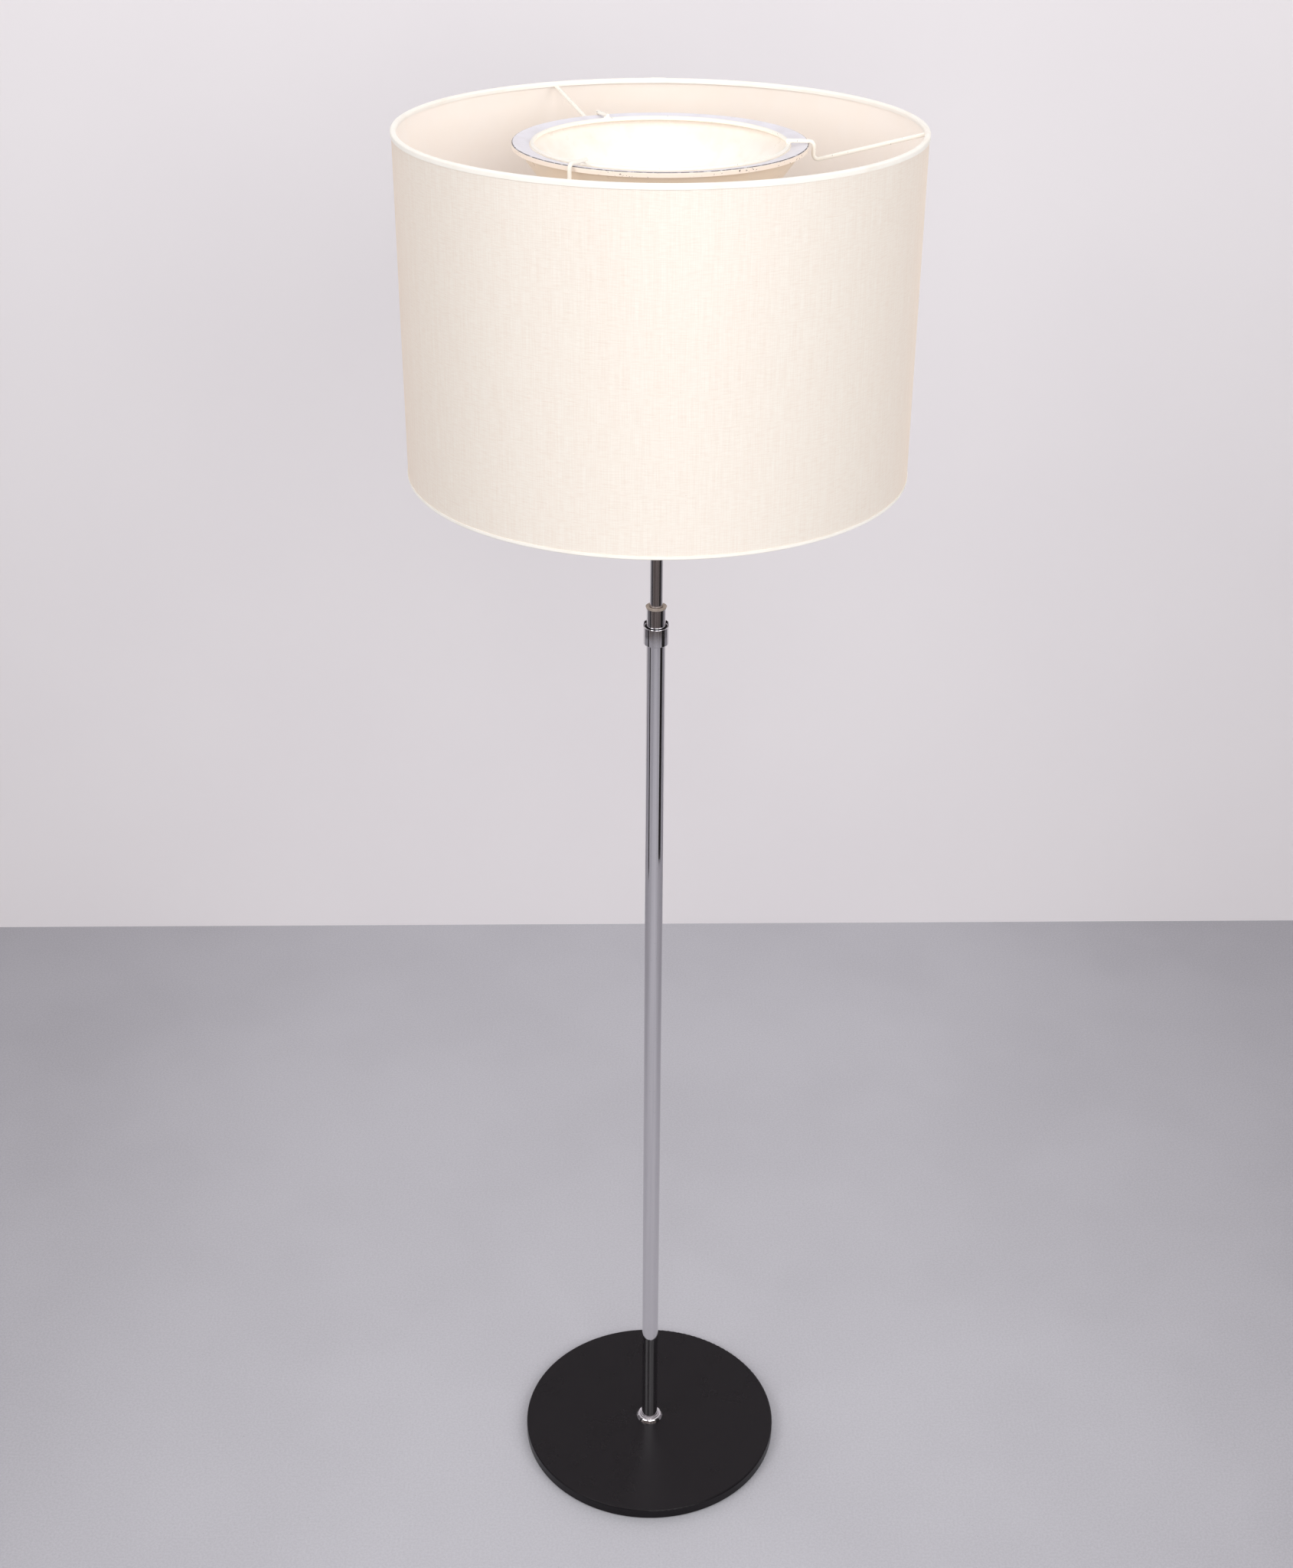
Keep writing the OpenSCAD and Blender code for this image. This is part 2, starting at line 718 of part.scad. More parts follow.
// Puts its children where an arm's lower bend ends, with +Z along the run up to the top wire
module at_rise() {
    translate([arm_foot.x, 0, arm_foot.y]) rotate([90, 0, 0]) rotate([0, 0, arm_touch])
        translate([arm_bend_r, 0, 0]) rotate([-90, 0, 0]) children();
}

module carrier_arm(angle) {
    start = carrier_ring_r - carrier_wire_d / 2;
    knee = [arm_r - arm_bend_r, arm_z - arm_bend_r];
    color(white_lacquer) rotate([0, 0, angle]) union() {
        wire_run([start, arm_z], 90, knee.x - start);
        wire_bend(knee, 0, 90);
        wire_run([arm_r, arm_foot.y], 0, knee.y - arm_foot.y);
        wire_bend(arm_foot, -180, arm_touch);
        at_rise() {
            sphere(d = carrier_wire_d + joint_bead, $fn = WIRE_FN);
            cylinder(h = arm_reach, d = carrier_wire_d, $fn = WIRE_FN);
        }
    }
}

module carrier_arm_right() { carrier_arm(carrier_angles[0]); }

module carrier_arm_back() { carrier_arm(carrier_angles[1]); }

module carrier_arm_front() { carrier_arm(carrier_angles[2]); }

module carrier_ring() {
    color(white_lacquer) wire_ring(carrier_ring_r, carrier_wire_d, carrier_ring_z);
}

// ---- Shade ----

module top_wire() {
    color(zinc) wire_ring(shade_wire_r, shade_wire_d, shade_top - wire_drop);
}

module bottom_wire() {
    color(zinc) wire_ring(shade_wire_r, shade_wire_d, shade_bottom + wire_drop);
}

// Section of a tape folded over the wire and the fabric's edge, its top at height 0
module tape_section(outside_h) {
    wire = [shade_wire_r, -wire_drop];
    fold = [tape_or - fold_r, -fold_r];
    cut_z = -max(inside_tape_h, outside_h) - CUT;
    difference() {
        polygon(concat(
            [[tape_ir, -inside_tape_h]],
            arc(wire, wire_drop, 180, 90, 8),
            arc(fold, fold_r, 90, 0, 6),
            [[tape_or, -outside_h], [fabric_or, -outside_h], [fabric_or, -inside_tape_h]]
        ));
        polygon(concat(
            [[tape_ir + tape_t, cut_z]],
            arc(wire, wire_drop - tape_t, 180, 90, 8),
            arc(fold, fold_r - tape_t, 90, 0, 6),
            [[tape_or - tape_t, cut_z]]
        ));
    }
}

module top_trim() {
    color(white_lacquer) difference() {
        translate([0, 0, shade_top]) rotate_extrude() tape_section(top_tape_h);
        for (angle = carrier_angles)
            rotate([0, 0, angle]) at_rise()
                cylinder(h = arm_reach, d = carrier_wire_d + 2 * fit_gap, $fn = WIRE_FN);
    }
}

module bottom_trim() {
    color(white_lacquer) translate([0, 0, shade_bottom]) mirror([0, 0, 1])
        rotate_extrude() tape_section(bottom_tape_h);
}

// The backing and the fabric end inside the tapes' folds
module shade_backing() {
    color(white_lacquer)
        tube(backing_or, backing_or - backing_t, shade_bottom + fold_r, shade_h - 2 * fold_r);
}

module shade_fabric() {
    color(raw_silk)
        tube(fabric_or, fabric_or - fabric_t, shade_bottom + fold_r, shade_h - 2 * fold_r);
}

base_disc();
base_felt();
cable_grommet();
foot_collar();
foot_ferrule();
foot_nipple();
foot_washer();
foot_nut();
outer_tube();
guide_bush();
collar_cup();
collar_liner();
brake_plug();
brake_spring();
inner_tube();
lock_nut();
top_nipple();
lampholder_cap();
lampholder_insert();
lampholder_skirt();
contact_tongue();
contact_shell();
shade_ring_lower();
shade_ring_upper();
bulb_contact();
bulb_cap();
bulb_glass();
reflector_bowl();
rim_ring();
carrier_ring();
carrier_arm_right();
carrier_arm_back();
carrier_arm_front();
top_wire();
bottom_wire();
top_trim();
bottom_trim();
shade_backing();
shade_fabric();
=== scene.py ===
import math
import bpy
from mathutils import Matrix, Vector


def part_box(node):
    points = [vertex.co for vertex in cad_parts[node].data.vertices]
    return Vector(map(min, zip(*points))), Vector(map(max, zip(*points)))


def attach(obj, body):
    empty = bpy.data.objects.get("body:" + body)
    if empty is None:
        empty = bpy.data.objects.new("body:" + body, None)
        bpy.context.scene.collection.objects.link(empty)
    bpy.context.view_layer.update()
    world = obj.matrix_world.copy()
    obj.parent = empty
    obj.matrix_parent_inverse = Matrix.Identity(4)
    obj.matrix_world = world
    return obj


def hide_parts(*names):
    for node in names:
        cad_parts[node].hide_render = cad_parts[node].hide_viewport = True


bl_info = {
    "name": "Telescopic Floor Lamp",
    "version": (1, 0, 0),
    "blender": (4, 5, 0),
    "location": "View3D > Sidebar > Floor Lamp",
    "description": "Dresses the packed lamp: silk shade, tapes, thread, finishes and a studio",
    "category": "Object",
}

import bmesh
import bpy
from bpy.props import FloatProperty, FloatVectorProperty, PointerProperty
from bpy.types import Operator, Panel, PropertyGroup
from mathutils import Matrix, Vector, noise

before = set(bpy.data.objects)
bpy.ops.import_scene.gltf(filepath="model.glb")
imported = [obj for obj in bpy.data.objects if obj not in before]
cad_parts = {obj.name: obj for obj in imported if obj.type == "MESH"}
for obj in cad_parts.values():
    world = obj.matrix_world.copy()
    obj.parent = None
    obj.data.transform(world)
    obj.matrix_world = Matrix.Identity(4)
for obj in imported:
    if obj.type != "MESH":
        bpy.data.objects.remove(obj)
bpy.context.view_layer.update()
MM = 0.001


def linear(hex_colour):
    """An sRGB hex colour as linear red, green, blue and alpha."""
    parts = [int(hex_colour[i:i + 2], 16) / 255 for i in (0, 2, 4)]
    return tuple(
        c / 12.92 if c <= 0.04045 else ((c + 0.055) / 1.055) ** 2.4 for c in parts
    ) + (1.0,)


def height(node):
    """Lowest and highest z of a CAD node."""
    low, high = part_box(node)
    return low[2], high[2]


def radius(node):
    """Outer radius of a CAD node that is round about the pole."""
    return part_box(node)[1][0]


# ---- Sizes and colours that a user would change ----


def colour(label, hint, hex_colour):
    """A colour that a user can change."""
    return FloatVectorProperty(
        name=label, description=hint, subtype="COLOR", size=4,
        min=0.0, max=1.0, default=linear(hex_colour),
    )


def length(label, hint, metres):
    """A length that a user can change."""
    return FloatProperty(
        name=label, description=hint, subtype="DISTANCE", unit="LENGTH",
        min=0.0, default=metres,
    )


class LampSizes(PropertyGroup):
    cloth_lap: length("Cloth Lap", "Width of the glued lap at the back of the shade", 12 * MM)
    cloth_t: length("Cloth Thickness", "Thickness of the silk", 0.4 * MM)
    tape_lap: length("Tape Lap", "Length by which each tape laps its own start", 9 * MM)
    tape_t: length("Tape Thickness", "Thickness of the tape over the wires", 0.4 * MM)
    tape_top: length("Top Tape", "Height of the top tape outside the shade", 4.0 * MM)
    tape_bottom: length("Bottom Tape", "Height of the bottom tape outside the shade", 3.3 * MM)
    tape_inside: length("Tape Inside", "Height of both tapes inside the shade", 3.6 * MM)
    tape_fold: length("Tape Fold", "Radius of the tape's fold over the silk's edge", 1.2 * MM)
    tape_wave: length("Tape Wave", "How far the tape's glued edge strays", 0.25 * MM)
    weld: length("Weld", "Length of the weld under each arm of the carrier", 6.5 * MM)
    thread_pitch: length("Thread Pitch", "Pitch of the lampholder's outer thread", 2.5 * MM)
    thread_depth: length("Thread Depth", "Depth of the lampholder's outer thread", 0.5 * MM)
    glow: FloatProperty(
        name="Glow", description="Strength of the lit bulb", min=0.0, soft_max=20.0, default=2.2)
    # The film's two glows are painted light: the film is no lamp.
    film_painted_glow: FloatProperty(
        name="Film Glow", description="Light that comes through the shade's film at its back",
        min=0.0, soft_max=1.0, default=0.14)
    side_painted_glow: FloatProperty(
        name="Side Glow", description="Light that comes through the shade's film at its sides",
        min=0.0, soft_max=1.0, default=0.28)


class LampColours(PropertyGroup):
    silk: colour("Silk", "Raw silk of the shade", "F3ECE2")
    slub: colour("Slub", "Thicker threads of the silk", "E6D5C7")
    film: colour("Film", "Laminated film inside the shade", "E0D8D1")
    tape: colour("Tape", "Tape over the shade's wires", "F8F3EB")
    white: colour("White Lacquer", "Stoved lacquer of the bowl and its rim", "F4F0EC")
    black: colour("Black Lacquer", "Lacquer of the iron base", "110D11")
    chrome: colour("Chrome", "Chrome plate of the pole", "D4D2D5")
    wall: colour("Wall", "Wall behind the lamp", "EFEAEC")
    floor: colour("Floor", "Painted floor", "C1C0C6")


def sizes():
    """The lamp's sizes, as the panel holds them."""
    return bpy.context.scene.lamp_sizes


def colours():
    """The lamp's colours, as the panel holds them."""
    return bpy.context.scene.lamp_colours


# ---- Materials ----


def add(tree, kind, inputs=None, **settings):
    """Adds a node: inputs are values or other nodes' outputs, settings its own options."""
    node = tree.nodes.new(kind)
    for key, value in settings.items():
        setattr(node, key, value)
    for key, value in (inputs or {}).items():
        if isinstance(value, bpy.types.NodeSocket):
            tree.links.new(value, node.inputs[key])
        else:
            node.inputs[key].default_value = value
    return node


def material(name, paint, **surface):
    """A material: paint(tree) gives the surface's linked inputs, and surface its plain values."""
    made = bpy.data.materials.get(name)
    if made:
        return made
    made = bpy.data.materials.new(name)
    made.use_nodes = True
    tree = made.node_tree
    tree.nodes.clear()
    inputs = {key.replace("_", " "): value for key, value in surface.items()}
    inputs.update(paint(tree))
    shader = add(tree, "ShaderNodeBsdfPrincipled", inputs)
    add(tree, "ShaderNodeOutputMaterial", {"Surface": shader.outputs[0]})
    return made


def grain(tree, size, where=None, detail=3.0, rough=0.55, stretch=(1, 1, 1)):
    """Noise whose grains are size metres across, stretched along an axis by its factor."""
    if where is None:
        where = add(tree, "ShaderNodeTexCoord").outputs["Object"]
    scaled = add(tree, "ShaderNodeMapping", {
        "Vector": where, "Scale": [1 / (size * s) for s in stretch]})
    return add(tree, "ShaderNodeTexNoise", {
        "Vector": scaled.outputs[0], "Scale": 1.0, "Detail": detail, "Roughness": rough,
    }).outputs["Fac"]


def ramp(tree, value, low, high, out_low=0.0, out_high=1.0):
    """The value from low to high, brought smoothly to a new range."""
    return add(tree, "ShaderNodeMapRange", {
        "Value": value, "From Min": low, "From Max": high,
        "To Min": out_low, "To Max": out_high,
    }, interpolation_type="SMOOTHSTEP").outputs[0]


def maths(tree, operation, a, b=0.0):
    """Arithmetic on two values or outputs of other nodes."""
    return add(tree, "ShaderNodeMath", {0: a, 1: b}, operation=operation).outputs[0]


def blend(tree, share, a, b):
    """Colour a, with its share of colour b."""
    return add(tree, "ShaderNodeMix", {"Factor": share, "A": a, "B": b},
               data_type="RGBA").outputs["Result"]


def bump(tree, value, depth, strength=1.0):
    """Normal of a surface whose relief is depth metres."""
    return add(tree, "ShaderNodeBump", {
        "Height": value, "Distance": depth, "Strength": strength}).outputs[0]


def raw_silk():
    """Raw silk (shantung): thick and thin threads, so faint streaks upright and nubs across.

    The threads are drawn coarser than real ones, so that they show.
    """
    def paint(tree):
        cloth = add(tree, "ShaderNodeUVMap", uv_map="cloth").outputs[0]
        warp = grain(tree, 0.9 * MM, cloth, 2.0, 0.5, (1, 30, 1))
        streaks = grain(tree, 5 * MM, cloth, 3.0, 0.6, (1, 60, 1))
        weft = grain(tree, 0.9 * MM, cloth, 2.0, 0.5, (10, 1, 1))
        lines = grain(tree, 1.2 * MM, cloth, 2.0, 0.6, (14, 1, 1))
        slubs = ramp(tree, grain(tree, 1.3 * MM, cloth, 2.0, 0.5, (3, 1, 1)), 0.70, 0.76)
        specks = ramp(tree, grain(tree, 1.5 * MM, cloth, 1.0, 0.5, (1.3, 1, 1)), 0.76, 0.80)
        tone = maths(tree, "ADD", ramp(tree, warp, 0.3, 0.7, 0, 0.25),
                     ramp(tree, streaks, 0.35, 0.65, 0, 0.1))
        tone = maths(tree, "ADD", tone, ramp(tree, weft, 0.35, 0.7, 0, 0.25))
        tone = maths(tree, "ADD", tone, ramp(tree, lines, 0.55, 0.7, 0, 0.2))
        cover = blend(tree, tone, colours().silk, colours().slub)
        cover = blend(tree, maths(tree, "MULTIPLY", specks, 0.3), cover, linear("B79E8B"))
        relief = maths(tree, "ADD", maths(tree, "MULTIPLY", warp, 0.7), weft)
        relief = maths(tree, "ADD", relief, slubs)
        return {
            "Base Color": cover,
            "Roughness": ramp(tree, streaks, 0.3, 0.7, 0.4, 0.5),
            "Normal": bump(tree, relief, 0.12 * MM, 0.9),
        }
    return material("raw_silk_shantung", paint, Sheen_Weight=0.6, Sheen_Roughness=0.45,
                    Sheen_Tint=linear("FFE6CC"), Specular_IOR_Level=0.8)


def laminate_film():
    """Matt self-adhesive film: smooth, faintly mottled, yellowed by the bulb near the top.

    It glows, more at the sides of the shade than at its back: a painted glow that stands in for the
    light falling on the lining.
    """
    def paint(tree):
        place = add(tree, "ShaderNodeTexCoord").outputs["Object"]
        up = add(tree, "ShaderNodeSeparateXYZ", {0: place}).outputs["Z"]
        low, high = height("shade_backing")
        aged = ramp(tree, up, low, high, 0.0, 0.35)
        mottled = ramp(tree, grain(tree, 30 * MM, place), 0.3, 0.7, 0.0, 0.25)
        across = add(tree, "ShaderNodeSeparateXYZ", {0: place}).outputs["X"]
        # Painted glow, stronger at the sides of the shade than at its back.
        sides = ramp(tree, maths(tree, "ABSOLUTE", across), 60 * MM, 200 * MM,
                     sizes().film_painted_glow, sizes().side_painted_glow)
        return {
            "Base Color": blend(tree, maths(tree, "ADD", aged, mottled),
                                colours().film, linear("DED2C5")),
            "Emission Strength": sides,
            "Roughness": ramp(tree, grain(tree, 8 * MM, place), 0.3, 0.7, 0.5, 0.62),
            "Normal": bump(tree, grain(tree, 1.2 * MM, place), 0.03 * MM, 0.5),
        }
    return material("laminate_film_matt", paint, Specular_IOR_Level=0.4,
                    Emission_Color=linear("FFF6F0"))


def woven_tape():
    """Plain woven cotton tape, glued: a firm white, with ribs across it.

    The ribs are drawn 0.9 mm apart, coarser than real ones, so that they show.
    """
    def paint(tree):
        cloth = add(tree, "ShaderNodeUVMap", uv_map="cloth").outputs[0]
        ribs = grain(tree, 0.9 * MM, cloth, 1.0, 0.4, (1, 8, 1))
        soil = grain(tree, 14 * MM, cloth, 3.0, 0.6, (2, 1, 1))
        return {
            "Base Color": blend(tree, ramp(tree, soil, 0.45, 0.8, 0, 0.35),
                                colours().tape, linear("E9DECD")),
            "Roughness": ramp(tree, ribs, 0.3, 0.7, 0.66, 0.8),
            "Normal": bump(tree, ribs, 0.08 * MM, 0.7),
        }
    return material("cotton_tape_woven", paint, Sheen_Weight=0.12, Sheen_Roughness=0.5,
                    Specular_IOR_Level=0.3)


def stoved_lacquer():
    """White stoved lacquer on spun steel: faint orange peel, duller in soft patches."""
    def paint(tree):
        place = add(tree, "ShaderNodeTexCoord").outputs["Object"]
        peel = grain(tree, 1.8 * MM, place, 2.0)
        dull = grain(tree, 22 * MM, place, 4.0)
        # Faces that look away from the pole are the bowl's outside, painted warmer: painted warm
        # light that the shade's lining throws on it.
        faces = add(tree, "ShaderNodeTexCoord").outputs["Normal"]
        outwards = add(tree, "ShaderNodeVectorMath", {0: faces, 1: place},
                       operation="DOT_PRODUCT").outputs["Value"]
        level = add(tree, "ShaderNodeVectorMath", {
            0: add(tree, "ShaderNodeVectorMath", {0: faces, 1: (0, 0, 1)},
                   operation="MULTIPLY").outputs[0],
            1: place}, operation="DOT_PRODUCT").outputs["Value"]
        outside = ramp(tree, maths(tree, "SUBTRACT", outwards, level), 0, 10 * MM)
        white = blend(tree, outside, colours().white, linear("EEDCC4"))
        return {
            "Base Color": blend(tree, ramp(tree, dull, 0.42, 0.75, 0, 0.4),
                                white, linear("E4DCCF")),
            "Roughness": ramp(tree, dull, 0.3, 0.7, 0.26, 0.42),
            "Normal": bump(tree, peel, 0.02 * MM, 0.6),
        }
    return material("white_stoved_lacquer", paint, Coat_Weight=0.2, Coat_Roughness=0.2)


def worn_rim():
    """The same lacquer on the rim ring, rubbed through to dark steel along its bend."""
    def paint(tree):
        low, high = height("rim_ring")
        outer = radius("rim_ring")
        place = add(tree, "ShaderNodeTexCoord").outputs["Object"]
        parts = add(tree, "ShaderNodeSeparateXYZ", {0: place})
        across = add(tree, "ShaderNodeVectorMath", {0: add(tree, "ShaderNodeCombineXYZ", {
            "X": parts.outputs["X"], "Y": parts.outputs["Y"]}).outputs[0]},
            operation="LENGTH").outputs["Value"]
        # Rubbed along the bend, in patches.
        out = ramp(tree, across, outer - 1.2 * MM, outer - 0.8 * MM)
        bend = ramp(tree, parts.outputs["Z"], high - 0.75 * MM, high - 0.35 * MM)
        patches = ramp(tree, grain(tree, 5 * MM, place, 4.0, 0.65), 0.38, 0.5, 0.35, 0.9)
        rubbed = maths(tree, "MULTIPLY", maths(tree, "MULTIPLY", out, bend), patches)
        # Chipped here and there on the lip.
        lip = ramp(tree, across, outer - 0.5 * MM, outer - 0.2 * MM)
        chips = ramp(tree, grain(tree, 2.6 * MM, place, 3.0, 0.7), 0.635, 0.66)
        chips = maths(tree, "MULTIPLY", maths(tree, "MULTIPLY", lip, chips),
                      ramp(tree, grain(tree, 40 * MM, place, 1.0), 0.45, 0.6))
        bare = maths(tree, "MAXIMUM", rubbed, chips)
        # The level flange is painted cooler than the upright lip: painted reflections, warm light
        # from the shade's lining on the lip and cool light from above on the flange.
        dull = grain(tree, 18 * MM, place, 4.0)
        flange_painted_cool = blend(tree, ramp(tree, dull, 0.4, 0.75, 0, 0.5),
                       linear("E6E3EA"), linear("D6D0D2"))
        level = add(tree, "ShaderNodeSeparateXYZ", {
            0: add(tree, "ShaderNodeTexCoord").outputs["Normal"]}).outputs["Z"]
        # Painted light: the cream of the lip and the cool tone of the flange.
        lacquer = blend(tree, ramp(tree, level, 0.3, 0.8), linear("F6E9DC"), flange_painted_cool)
        return {
            "Base Color": blend(tree, bare, lacquer, linear("3A3430")),
            "Roughness": ramp(tree, bare, 0, 1, 0.34, 0.6),
            "Normal": bump(tree, maths(tree, "SUBTRACT", grain(tree, 1.8 * MM, place, 2.0),
                                       bare), 0.05 * MM, 0.7),
        }
    return material("white_lacquer_rubbed", paint)


def lacquered_wire():
    """White lacquer on drawn wire: slightly thick, with a few dark nicks."""
    def paint(tree):
        place = add(tree, "ShaderNodeTexCoord").outputs["Object"]
        nicks = ramp(tree, grain(tree, 2.2 * MM, place, 3.0, 0.7), 0.68, 0.71)
        return {
            "Base Color": blend(tree, nicks, linear("F3EEE4"), linear("5A4A3C")),
            "Roughness": ramp(tree, grain(tree, 9 * MM, place), 0.3, 0.7, 0.3, 0.45),
            "Normal": bump(tree, grain(tree, 1.5 * MM, place, 2.0), 0.03 * MM, 0.6),
        }
    return material("white_lacquer_on_wire", paint)


def chrome_plate():
    """Polished chrome plate on drawn tube: upright polishing lines, haze and tiny pits.

    The lines are drawn 0.7 mm wide, coarser than real ones, so that they show.
    """
    def paint(tree):
        place = add(tree, "ShaderNodeTexCoord").outputs["Object"]
        lines = grain(tree, 0.7 * MM, place, 2.0, 0.5, (1, 1, 160))
        haze = grain(tree, 16 * MM, place, 4.0, 0.6, (1, 1, 3))
        pits = ramp(tree, grain(tree, 0.9 * MM, place, 1.0), 0.74, 0.78)
        return {
            "Base Color": blend(tree, pits, colours().chrome, linear("6E665F")),
            "Roughness": maths(tree, "ADD", ramp(tree, haze, 0.35, 0.7, 0.02, 0.07),
                               maths(tree, "MULTIPLY", pits, 0.3)),
            "Normal": bump(tree, lines, 0.004 * MM, 0.35),
        }
    return material("chrome_plate_polished", paint, Metallic=1.0)


def iron_lacquer():
    """Satin black lacquer on cast iron: fine orange peel, a little dust and rubbed haze."""
    def paint(tree):
        place = add(tree, "ShaderNodeTexCoord").outputs["Object"]
        peel = grain(tree, 1.3 * MM, place, 3.0)
        haze = grain(tree, 45 * MM, place, 4.0)
        dust = ramp(tree, grain(tree, 1.6 * MM, place, 2.0, 0.7), 0.66, 0.74, 0, 0.08)
        return {
            "Base Color": blend(tree, dust, colours().black, linear("6B6564")),
            "Roughness": ramp(tree, haze, 0.3, 0.7, 0.26, 0.34),
            "Normal": bump(tree, peel, 0.03 * MM, 0.4),
        }
    return material("black_lacquer_satin", paint, Specular_IOR_Level=0.2)


def pressed_felt():
    """Pressed wool felt: short fibres in every direction, no gloss."""
    def paint(tree):
        place = add(tree, "ShaderNodeTexCoord").outputs["Object"]
        fibres = grain(tree, 0.8 * MM, place, 5.0, 0.7)
        return {
            "Base Color": blend(tree, fibres, linear("171816"), linear("34352F")),
            "Roughness": ramp(tree, fibres, 0.2, 0.8, 0.85, 0.98),
            "Normal": bump(tree, fibres, 0.3 * MM),
        }
    return material("wool_felt_pressed", paint, Sheen_Weight=0.3, Sheen_Roughness=0.6)


def plated_metal(name, light, dark, rough, cell):
    """Plated or rolled small parts: a dull metal with a mottled, slightly stained skin."""
    def paint(tree):
        place = add(tree, "ShaderNodeTexCoord").outputs["Object"]
        stain = grain(tree, cell, place, 4.0, 0.6)
        return {
            "Base Color": blend(tree, ramp(tree, stain, 0.35, 0.7), linear(light), linear(dark)),
            "Roughness": ramp(tree, stain, 0.3, 0.7, rough, rough + 0.15),
            "Normal": bump(tree, grain(tree, 0.5 * MM, place), 0.01 * MM, 0.5),
        }
    return material(name, paint, Metallic=1.0)


def moulding(name, light, dark, rough, cell, **surface):
    """Moulded or fired small parts: an even body colour with a faint grain."""
    def paint(tree):
        place = add(tree, "ShaderNodeTexCoord").outputs["Object"]
        body = grain(tree, cell, place, 4.0, 0.6)
        return {
            "Base Color": blend(tree, ramp(tree, body, 0.35, 0.7), linear(light), linear(dark)),
            "Roughness": ramp(tree, body, 0.3, 0.7, rough, rough + 0.12),
            "Normal": bump(tree, grain(tree, 0.7 * MM, place), 0.02 * MM, 0.5),
        }
    return material(name, paint, **surface)


def opal_bulb():
    """Opal glass of a lit bulb: an even warm white, a touch dimmer and warmer by the cap."""
    def paint(tree):
        place = add(tree, "ShaderNodeTexCoord").outputs["Object"]
        up = add(tree, "ShaderNodeSeparateXYZ", {0: place}).outputs["Z"]
        low, high = height("bulb_glass")
        lit = ramp(tree, up, low, low + 0.5 * (high - low), 0.55, 1.0)
        return {
            "Base Color": blend(tree, ramp(tree, grain(tree, 12 * MM, place), 0.3, 0.7),
                                linear("FBF7EF"), linear("F6F0E4")),
            "Emission Color": blend(tree, lit, linear("FFE2B8"), linear("FFF2DF")),
            "Roughness": ramp(tree, grain(tree, 5 * MM, place), 0.3, 0.7, 0.12, 0.2),
        }
    return material("opal_glass_lit", paint, Emission_Strength=sizes().glow)


def beige_nylon():
    """Moulded nylon: dull beige grey, greyed by handling."""
    return moulding("nylon_moulded", "A3978C", "94887D", 0.42, 6 * MM)


def phenolic():
    """Moulded phenolic resin: near black, glossy, with a faint brown cloud."""
    return moulding("phenolic_moulded", "191513", "241C17", 0.2, 5 * MM)


def rubber():
    """Moulded rubber: black and dull."""
    return moulding("rubber_moulded", "151414", "1E1D1C", 0.75, 4 * MM)


def porcelain():
    """Glazed porcelain: warm white and glossy."""
    return moulding("porcelain_glazed", "ECE8DD", "E2DCCD", 0.12, 7 * MM, Coat_Weight=0.5)


def zinc():
    """Zinc-plated steel: pale grey, softly mottled."""
    return plated_metal("zinc_plated_steel", "BCC0C4", "A2A5A6", 0.3, 3 * MM)


def nickel():
    """Nickel-plated sheet: warm grey and brighter than zinc."""
    return plated_metal("nickel_plated_sheet", "C6C0B4", "B1A998", 0.2, 4 * MM)


def brass():
    """Rolled brass: yellow, browned in places."""
    return plated_metal("rolled_brass", "CDA85C", "A07F45", 0.26, 4 * MM)


FINISHES = {
    iron_lacquer: ("base_disc",),
    pressed_felt: ("base_felt",),
    rubber: ("cable_grommet", "collar_liner"),
    chrome_plate: ("foot_collar", "outer_tube", "collar_cup", "inner_tube"),
    zinc: ("foot_ferrule", "foot_nipple", "foot_washer", "foot_nut", "brake_spring",
           "lock_nut", "top_nipple", "bulb_contact", "top_wire", "bottom_wire"),
    beige_nylon: ("guide_bush", "brake_plug"),
    phenolic: ("lampholder_cap",),
    porcelain: ("lampholder_insert",),
    brass: ("contact_tongue", "contact_shell"),
    nickel: ("bulb_cap",),
    opal_bulb: ("bulb_glass",),
    stoved_lacquer: ("reflector_bowl",),
    worn_rim: ("rim_ring",),
    lacquered_wire: ("carrier_ring", "carrier_arm_right", "carrier_arm_back",
                     "carrier_arm_front"),
    laminate_film: ("shade_backing",),
}


# ---- Pieces ----


def finish_piece(name, bm, surface, body):
    """Makes the mesh a smooth piece of the lamp that rides on a body."""
    bmesh.ops.recalc_face_normals(bm, faces=bm.faces)
    mesh = bpy.data.meshes.new(name)
    for face in bm.faces:
        face.smooth = True
    bm.to_mesh(mesh)
    bm.free()
    piece = bpy.data.objects.new(name, mesh)
    bpy.context.scene.collection.objects.link(piece)
    mesh.materials.append(surface)
    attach(piece, body)
    return piece


def wall_thickness(piece, thickness):
    """Gives a sheet its thickness, inwards from its outer face."""
    made = piece.modifiers.new("Thickness", "SOLIDIFY")
    made.thickness = thickness
    made.offset = -1.0
    made.use_even_offset = True


class Path:
    """Section of a wrapped sheet: a polyline of (radius, height) with its running length."""

    def __init__(self, points):
        self.points = [Vector(p) for p in points]
        self.marks = [0.0]
        for a, b in zip(self.points, self.points[1:]):
            self.marks.append(self.marks[-1] + (b - a).length)
        self.length = self.marks[-1]

    def at(self, run):
        """Point and outward normal at a running length."""
        run = min(max(run, 0.0), self.length)
        i = max(k for k, mark in enumerate(self.marks[:-1]) if mark <= run)
        a, b = self.points[i], self.points[i + 1]
        along = (b - a).normalized()
        return a + along * (run - self.marks[i]), Vector((-along.y, along.x))


